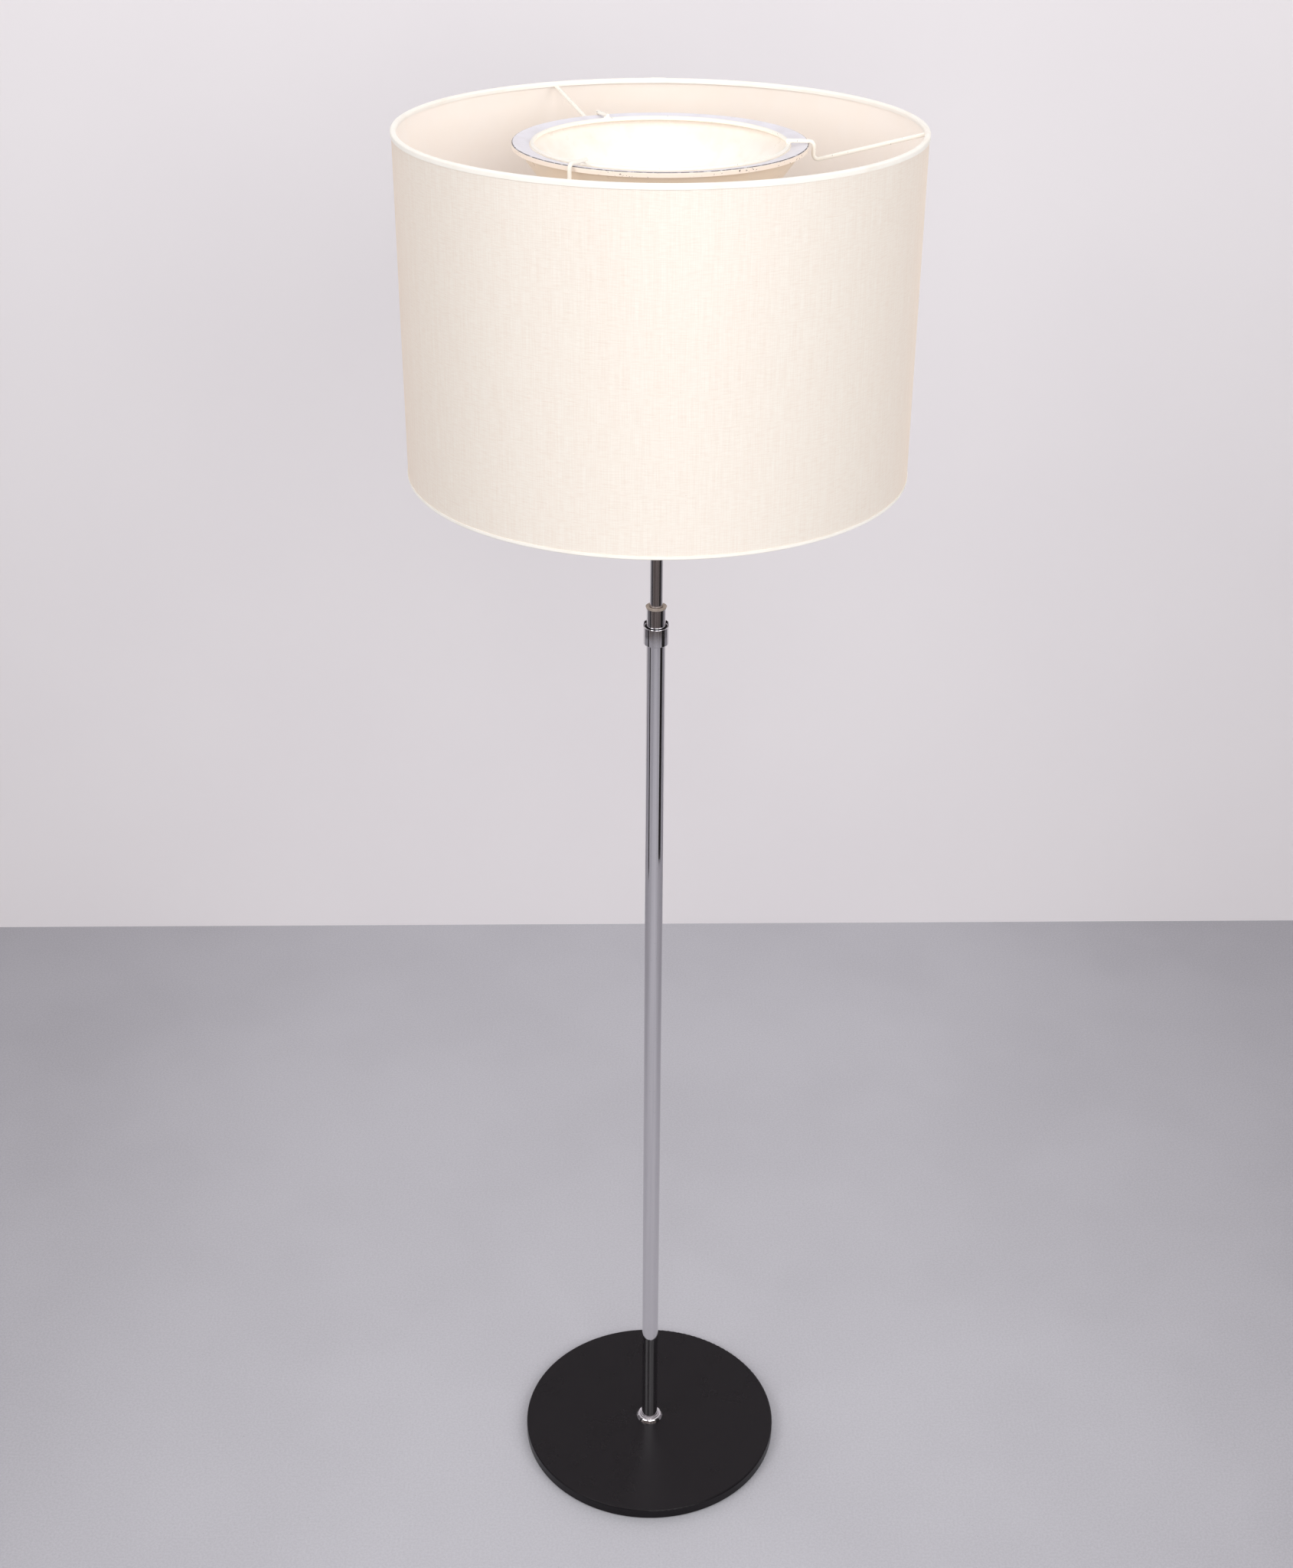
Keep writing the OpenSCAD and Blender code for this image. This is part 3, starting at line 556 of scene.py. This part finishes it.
def step(value, low, high):
    """A smooth rise from 0 at low to 1 at high."""
    share = min(max((value - low) / (high - low), 0.0), 1.0)
    return share * share * (3 - 2 * share)


# A lap climbs over this length, and lies on the layer under it with a tenth of its thickness as air.
LAP_CLIMB = 6 * MM
LAP_LIFT = 1.1
# The edges of a tape stray in waves, so many to the metre. From FAR_EDGE on along the section they
# follow other waves than before it.
EDGE_WAVES = 28
FAR_EDGE = 10 * MM
FAR_WAVES, NEAR_WAVES = 3.7, 9.1


def wrapped_sheet(path, round_r, lap, thickness, around, across, under=None, wave=0.0):
    """A flat strip wrapped round the pole's axis from the back, its far end lapped over its start.

    path is the strip's section, under the lap of the layer beneath, which lifts it, as (start,
    end, height), and wave how far its long edges stray. The flat strip's places, in metres, are
    its UV map.
    """
    girth = 2 * math.pi * round_r
    bm = bmesh.new()
    bmesh.ops.create_grid(bm, x_segments=around, y_segments=across, size=0.5)
    uv = bm.loops.layers.uv.new("cloth")
    for vert in bm.verts:
        vert.co.x = (vert.co.x + 0.5) * (girth + lap)
        vert.co.y = (vert.co.y + 0.5) * path.length
    for face in bm.faces:
        for loop in face.loops:
            loop[uv].uv = loop.vert.co.xy
    for edge in bm.edges:
        edge.smooth = not edge.is_boundary
    for vert in bm.verts:
        run, side = vert.co.x, vert.co.y
        edge = abs(2 * side / path.length - 1) ** 6
        waves = FAR_WAVES if side > FAR_EDGE else NEAR_WAVES
        stray = wave * edge * noise.noise(Vector((run * EDGE_WAVES, waves, 0)))
        point, out = path.at(side + stray)
        lift = thickness * LAP_LIFT * step(run, girth - LAP_CLIMB, girth)
        if under:
            start, end, rise = under
            along = step(run, start - LAP_CLIMB, start) * step(-run, -end - LAP_CLIMB, -end)
            # Only the part of the section that faces outwards lies on the lap.
            lift += rise * along * step(out.x, 0.2, 0.9)
        point = point + out * lift
        angle = math.pi / 2 + run / round_r
        vert.co = (point.x * math.cos(angle), point.x * math.sin(angle), point.y)
    return bm, (girth + lap, path.length)


def arc(centre, r, start, end, count):
    """Points on an arc of a section, angles in degrees."""
    return [
        (centre[0] + r * math.cos(math.radians(start + (end - start) * i / count)),
         centre[1] + r * math.sin(math.radians(start + (end - start) * i / count)))
        for i in range(count + 1)
    ]


class LAMP_OT_cover(Operator):
    """Wrap the shade in raw silk, lapped and glued at the back"""

    bl_idname = "lamp.cover"
    bl_label = "Silk Cover"

    def execute(self, context):
        low, high = height("shade_fabric")
        outer = radius("shade_fabric")
        path = Path([(outer, high), (outer, low)])
        bm, flat = wrapped_sheet(path, outer, sizes().cloth_lap, sizes().cloth_t,
                                 around=720, across=40)
        cover = finish_piece("shade_cover", bm, raw_silk(), "shade")
        wall_thickness(cover, sizes().cloth_t)
        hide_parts("shade_fabric")
        return {"FINISHED"}


class LAMP_OT_tapes(Operator):
    """Fold a woven tape over the shade's top and bottom wires"""

    bl_idname = "lamp.tapes"
    bl_label = "Tapes"

    def tape(self, node, wire, end):
        """end is 1 for the tape at the top, and -1 for the one at the bottom."""
        low, high = height(node)
        outer = radius(node)
        face = high if end > 0 else low
        wire_low, wire_high = height(wire)
        wire_r = radius(wire) - (wire_high - wire_low) / 2
        inner_round = abs(face - (wire_low + wire_high) / 2)
        fold = sizes().tape_fold
        outside = sizes().tape_top if end > 0 else sizes().tape_bottom
        section = (
            [(wire_r - inner_round, -sizes().tape_inside)]
            + arc((wire_r, -inner_round), inner_round, 180, 90, 8)
            + arc((outer - fold, -fold), fold, 90, 0, 5)
            + [(outer, -outside)]
        )
        points = [(r, face + end * z) for r, z in section]
        if end < 0:
            points.reverse()
        path = Path(points)
        lap = sizes().cloth_lap
        bm, flat = wrapped_sheet(
            path, outer, sizes().tape_lap, sizes().tape_t, around=900, across=44,
            under=(0.0, lap, sizes().cloth_t * LAP_LIFT), wave=sizes().tape_wave)
        name = node.replace("trim", "tape")
        tape = finish_piece(name, bm, woven_tape(), "shade")
        wall_thickness(tape, sizes().tape_t)
        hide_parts(node)

    def execute(self, context):
        self.tape("top_trim", "top_wire", 1)
        self.tape("bottom_trim", "bottom_wire", -1)
        return {"FINISHED"}


class LAMP_OT_welds(Operator):
    """Lay a lacquered weld where each arm crosses the carrier's ring"""

    bl_idname = "lamp.welds"
    bl_label = "Carrier Welds"

    def execute(self, context):
        low, high = height("carrier_ring")
        wire = (high - low) / 2
        ring_r = radius("carrier_ring") - wire
        # A weld spreads a little past the wire on both sides, and is flatter than the wire.
        spread = 0.62 * wire * 2
        rise = 0.75 * wire
        lumps, lump_waves = 0.14, 700
        for side in ("right", "back", "front"):
            lowest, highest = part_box("carrier_arm_" + side)
            reach = Vector(((lowest[0] + highest[0]) / 2, (lowest[1] + highest[1]) / 2))
            turn = math.atan2(reach.y, reach.x)
            bm = bmesh.new()
            bmesh.ops.create_uvsphere(bm, u_segments=28, v_segments=14, radius=1.0)
            bmesh.ops.scale(bm, vec=(spread, sizes().weld / 2, rise), verts=bm.verts)
            for vert in bm.verts:
                place = vert.co * lump_waves + Vector((turn, 0, 0))
                vert.co *= 1 + lumps * noise.noise(place)
            bmesh.ops.translate(bm, vec=(ring_r, 0, high), verts=bm.verts)
            bmesh.ops.rotate(bm, cent=(0, 0, 0), matrix=Matrix.Rotation(turn, 3, "Z"),
                             verts=bm.verts)
            finish_piece("weld_" + side, bm, lacquered_wire(), "shade")
        return {"FINISHED"}


def spun(section, steps):
    """A closed section of (radius, height) points, spun once round the pole's axis."""
    bm = bmesh.new()
    verts = [bm.verts.new((r, 0, z)) for r, z in section]
    edges = [bm.edges.new((a, b)) for a, b in zip(verts, verts[1:] + verts[:1])]
    bmesh.ops.spin(bm, geom=verts + edges, cent=(0, 0, 0), axis=(0, 0, 1), dvec=(0, 0, 0),
                   angle=2 * math.pi, steps=steps, use_merge=True, use_duplicate=False)
    return bm


def hole_radius(node, z_share):
    """Inner radius of a CAD node that is a ring, near a height given as a share of its own."""
    low, high = height(node)
    z = low + z_share * (high - low)
    reach = 0.6 * (high - low)
    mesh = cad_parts[node].data
    near = [v.co for v in mesh.vertices if abs(v.co.z - z) < reach]
    return min(math.hypot(c.x, c.y) for c in near)


class LAMP_OT_clamp_rings(Operator):
    """Mould grips round the two rings that clamp the bowl"""

    bl_idname = "lamp.clamp_rings"
    bl_label = "Clamp Rings"

    def execute(self, context):
        grips, per_grip, depth = 48, 8, 0.7 * MM
        soft = 0.8 * MM
        for node in ("shade_ring_lower", "shade_ring_upper"):
            low, high = height(node)
            outer, inner = radius(node), hole_radius(node, 0.5)
            section = (
                [(inner, low), (outer - soft, low)]
                + arc((outer - soft, low + soft), soft, -90, 0, 4)[1:]
                + arc((outer - soft, high - soft), soft, 0, 90, 4)
                + [(inner, high)]
            )
            bm = spun(section, grips * per_grip)
            for vert in bm.verts:
                r = math.hypot(vert.co.x, vert.co.y)
                # The bore and the flat faces stay round.
                if r < outer - 1.5 * soft:
                    continue
                turn = math.atan2(vert.co.y, vert.co.x)
                cut = depth * (0.5 + 0.5 * math.cos(grips * turn)) ** 2
                vert.co.xy *= (r - cut) / r
            ring = finish_piece(node + "_gripped", bm, phenolic(), "head")
            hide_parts(node)
        return {"FINISHED"}


class LAMP_OT_skirt(Operator):
    """Cut the outer thread of the lampholder's skirt"""

    bl_idname = "lamp.skirt"
    bl_label = "Threaded Skirt"

    def execute(self, context):
        node = "lampholder_skirt"
        low, high = height(node)
        outer = radius(node)
        mouth = hole_radius(node, 1.0)
        wall, lip = 2.2 * MM, 1.5 * MM
        # The thread starts above a plain band and ends short of the mouth, fading at both ends.
        plain, plain_fade = 2.0 * MM, 2.0 * MM
        short, short_fade = 0.4 * MM, 1.0 * MM
        rows, around = 130, 96
        outside = [(outer, low + (high - low) * i / rows) for i in range(rows + 1)]
        section = outside + [
            (mouth, high), (mouth, high - lip), (outer - wall, high - lip),
            (outer - wall, low),
        ]
        bm = spun(section, around)
        pitch, depth = sizes().thread_pitch, sizes().thread_depth
        for vert in bm.verts:
            r = math.hypot(vert.co.x, vert.co.y)
            # Only the outer face is cut.
            if r < outer - 0.1 * MM:
                continue
            turn = math.atan2(vert.co.y, vert.co.x) / (2 * math.pi)
            wave = 0.5 + 0.5 * math.cos(2 * math.pi * (vert.co.z / pitch - turn))
            start = step(vert.co.z, low + plain, low + plain + plain_fade)
            end = step(-vert.co.z, -high + short, -high + short + short_fade)
            cut = depth * start * end * step(wave, 0.15, 0.85)
            vert.co.xy *= (r - cut) / r
        skirt = finish_piece("lampholder_skirt_threaded", bm, phenolic(), "head")
        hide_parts(node)
        return {"FINISHED"}


class LAMP_OT_finishes(Operator):
    """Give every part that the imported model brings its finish"""

    bl_idname = "lamp.finishes"
    bl_label = "Finishes"

    def execute(self, context):
        for finish, nodes in FINISHES.items():
            for node in nodes:
                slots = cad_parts[node].data.materials
                if not slots:
                    slots.append(None)
                for i in range(len(slots)):
                    slots[i] = finish()
        return {"FINISHED"}


# ---- Studio ----

# The camera's place, in metres, and its angles, in degrees.
CAMERA_AT = (0.0, -1.7994, 1.8189)
CAMERA_TURN = 0.258
CAMERA_DOWN = 28.265
CAMERA_ROLL = 0.362
LENS_MM = 47.87
SENSOR_MM = 36.0
# Width and depth of the floor and the wall, their places and the wall's turn from square.
FLOOR_SIZE = (7.0, 6.4)
FLOOR_AT = (0, 0.7, 0)
WALL_SIZE = (7.0, 4.0)
WALL_AT = (0, 1.1005, 1.99)
WALL_TURN = 1.5
# Name, watts, width, depth, place and aim of each soft light.
LIGHTS = (
    ("key_light", 28.0, 1.4, 1.4, (0.4, -2.4, 2.0), (0, 0.3, 0.7)),
    ("left_light", 40.0, 1.8, 1.8, (-2.1, -1.6, 2.3), (0, 0.2, 0.8)),
    ("right_light", 35.0, 1.8, 1.8, (2.1, -1.6, 2.3), (0, 0.2, 0.9)),
    ("top_light", 12.0, 1.4, 1.4, (0, 0.2, 3.3), (0, 0.2, 0)),
)
SKY = 0.25
# Curtains round the lamp, seen only as reflections and above all in the chrome: name, distance
# from the pole, first and last angle from the front, dark and light colour of their folds.
CURTAIN_H = 1.6
CURTAINS = (
    ("front_curtain", 2.25, -64, 54, "544B47", "A89E97"),
    ("left_post", 1.27, -80, -66, "141212", "2A2624"),
    ("right_post", 1.32, 54, 88, "141212", "2A2624"),
    ("left_screen", 2.25, -126, -78, "6F6C6E", "9A989B"),
    ("right_screen", 2.25, 86, 126, "858286", "AEACB0"),
)


def staged(name, bm, surface):
    """Makes the mesh a piece of the studio."""
    mesh = bpy.data.meshes.new(name)
    bm.to_mesh(mesh)
    bm.free()
    obj = bpy.data.objects.new(name, mesh)
    mesh.materials.append(surface)
    bpy.context.scene.collection.objects.link(obj)
    return obj


def plane(name, width, depth, surface, place):
    """A flat rectangle of the studio, whose place is a matrix."""
    bm = bmesh.new()
    bmesh.ops.create_grid(bm, x_segments=1, y_segments=1, size=0.5)
    bmesh.ops.scale(bm, vec=(width, depth, 1), verts=bm.verts)
    staged(name, bm, surface).matrix_world = place


def curtain(name, away, first, last, dark, light):
    """A curved strip that stands on the floor, seen only as a reflection."""
    bm = bmesh.new()
    turns = [math.radians(a) for a in range(first, last + 1, 2)]
    rows = [[bm.verts.new((away * math.sin(a), -away * math.cos(a), z)) for a in turns]
            for z in (0, CURTAIN_H)]
    for i in range(len(turns) - 1):
        bm.faces.new((rows[0][i], rows[0][i + 1], rows[1][i + 1], rows[1][i]))
    made = staged(name, bm, curtain_cloth(name, dark, light))
    made.visible_camera = False
    made.visible_diffuse = False
    made.visible_shadow = False


def softbox(name, power, width, depth, at, aim):
    """A rectangular soft light that looks from its place to its aim."""
    light = bpy.data.lights.new(name, "AREA")
    light.shape = "RECTANGLE"
    light.size, light.size_y = width, depth
    light.energy = power
    obj = bpy.data.objects.new(name, light)
    obj.location = at
    obj.rotation_euler = (Vector(aim) - Vector(at)).to_track_quat("-Z", "Y").to_euler()
    bpy.context.scene.collection.objects.link(obj)


def painted_floor():
    """Floor paint on screed: grit, a few dark specks and broad, faint clouds.

    The grit is drawn coarser than real sand, so that it shows. The paint darkens to both sides:
    painted falloff of the light, which is brightest round the lamp.
    """
    def paint(tree):
        place = add(tree, "ShaderNodeTexCoord").outputs["Object"]
        clouds = ramp(tree, grain(tree, 350 * MM, place, 3.0), 0.35, 0.7, 0, 0.4)
        grit = ramp(tree, grain(tree, 2.6 * MM, place, 3.0, 0.7), 0.36, 0.64, 0, 0.7)
        specks = ramp(tree, grain(tree, 2.4 * MM, place, 1.0), 0.76, 0.8, 0, 0.4)
        across = add(tree, "ShaderNodeSeparateXYZ", {0: place}).outputs["X"]
        # Painted falloff of the light: the floor darkens to both sides, away from the lamp.
        painted_falloff = ramp(tree, maths(tree, "ABSOLUTE", across), 300 * MM, 1000 * MM, 0, 1.45)
        # This sum holds the clouds and grit of the paint, and the painted falloff of the light.
        soil = maths(tree, "ADD", maths(tree, "ADD", clouds, grit), painted_falloff)
        painted = blend(tree, maths(tree, "MULTIPLY", soil, 0.4),
                        colours().floor, linear("A4A2A8"))
        return {
            "Base Color": blend(tree, specks, painted, linear("5C575A")),
            "Roughness": ramp(tree, clouds, 0, 0.5, 0.55, 0.7),
            "Normal": bump(tree, grain(tree, 3 * MM, place), 0.1 * MM, 0.3),
        }
    return material("floor_paint_on_screed", paint, Specular_IOR_Level=0.3)


def wall_paint():
    """Matt wall paint, seen from its front only, so that other views look past it."""
    def paint(tree):
        place = add(tree, "ShaderNodeTexCoord").outputs["Object"]
        clouds = ramp(tree, grain(tree, 500 * MM, place, 2.0), 0.3, 0.7, 0, 0.2)
        back = add(tree, "ShaderNodeNewGeometry").outputs["Backfacing"]
        return {
            "Base Color": blend(tree, clouds, colours().wall, linear("E6E0E4")),
            "Roughness": ramp(tree, grain(tree, 200 * MM, place), 0.3, 0.7, 0.85, 0.95),
            "Alpha": maths(tree, "SUBTRACT", 1.0, back),
        }
    return material("wall_paint_matt", paint, Specular_IOR_Level=0.2)


def curtain_cloth(name, dark, light):
    """Cloth that hangs in upright folds, dull, for the chrome to mirror."""
    def paint(tree):
        place = add(tree, "ShaderNodeTexCoord").outputs["Object"]
        folds = grain(tree, 110 * MM, place, 3.0, 0.6, (1, 1, 12))
        return {
            "Base Color": blend(tree, ramp(tree, folds, 0.42, 0.62), linear(dark),
                                linear(light)),
            "Roughness": ramp(tree, folds, 0.3, 0.7, 0.8, 0.95),
        }
    return material(name + "_cloth", paint)


class LAMP_OT_studio(Operator):
    """Set up the floor, the wall, the lights and the camera"""

    bl_idname = "lamp.studio"
    bl_label = "Studio"

    def execute(self, context):
        scene = context.scene
        plane("studio_floor", *FLOOR_SIZE, painted_floor(), Matrix.Translation(FLOOR_AT))
        plane("studio_wall", *WALL_SIZE, wall_paint(),
              Matrix.Translation(WALL_AT)
              @ Matrix.Rotation(math.radians(WALL_TURN), 4, "Z")
              @ Matrix.Rotation(math.radians(90), 4, "X"))

        camera = bpy.data.cameras.new("camera")
        camera.lens = LENS_MM
        camera.sensor_width = SENSOR_MM
        camera.sensor_fit = "AUTO"
        camera.clip_end = 50.0
        stand = bpy.data.objects.new("camera", camera)
        stand.matrix_world = (
            Matrix.Translation(CAMERA_AT)
            @ Matrix.Rotation(math.radians(CAMERA_TURN), 4, "Z")
            @ Matrix.Rotation(math.radians(90 - CAMERA_DOWN), 4, "X")
            @ Matrix.Rotation(math.radians(CAMERA_ROLL), 4, "Z")
        )
        scene.collection.objects.link(stand)
        scene.camera = stand

        for light in LIGHTS:
            softbox(*light)
        for strip in CURTAINS:
            curtain(*strip)

        world = bpy.data.worlds.new("studio")
        world.use_nodes = True
        tree = world.node_tree
        tree.nodes.clear()
        shade = add(tree, "ShaderNodeBackground",
                    {"Color": linear("F2F2F4"), "Strength": SKY})
        pale = add(tree, "ShaderNodeBackground", {"Color": colours().wall, "Strength": 1.0})
        rays = add(tree, "ShaderNodeLightPath")
        seen = maths(tree, "MAXIMUM", rays.outputs["Is Camera Ray"],
                     rays.outputs["Is Transmission Ray"])
        seen = maths(tree, "MAXIMUM", seen, rays.outputs["Is Glossy Ray"])
        both = add(tree, "ShaderNodeMixShader",
                   {0: seen, 1: shade.outputs[0], 2: pale.outputs[0]})
        add(tree, "ShaderNodeOutputWorld", {"Surface": both.outputs[0]})
        scene.world = world
        scene.view_settings.view_transform = "Standard"
        return {"FINISHED"}


class LAMP_PT_panel(Panel):
    """The lamp's pieces, sizes and colours"""

    bl_label = "Floor Lamp"
    bl_idname = "LAMP_PT_panel"
    bl_space_type = "VIEW_3D"
    bl_region_type = "UI"
    bl_category = "Floor Lamp"

    def draw(self, context):
        layout = self.layout
        for group in (context.scene.lamp_sizes, context.scene.lamp_colours):
            box = layout.box()
            for name in group.__annotations__:
                box.prop(group, name)
        for operator in OPERATORS:
            layout.operator(operator.bl_idname)


OPERATORS = (
    LAMP_OT_cover, LAMP_OT_tapes, LAMP_OT_welds, LAMP_OT_clamp_rings, LAMP_OT_skirt,
    LAMP_OT_finishes, LAMP_OT_studio,
)
CLASSES = (LampSizes, LampColours) + OPERATORS + (LAMP_PT_panel,)


def register():
    for cls in CLASSES:
        bpy.utils.register_class(cls)
    bpy.types.Scene.lamp_sizes = PointerProperty(type=LampSizes)
    bpy.types.Scene.lamp_colours = PointerProperty(type=LampColours)


def unregister():
    del bpy.types.Scene.lamp_colours
    del bpy.types.Scene.lamp_sizes
    for cls in reversed(CLASSES):
        bpy.utils.unregister_class(cls)


def main():
    register()
    for operator in OPERATORS:
        group, name = operator.bl_idname.split(".")
        getattr(getattr(bpy.ops, group), name)()


if __name__ == "__main__":
    main()
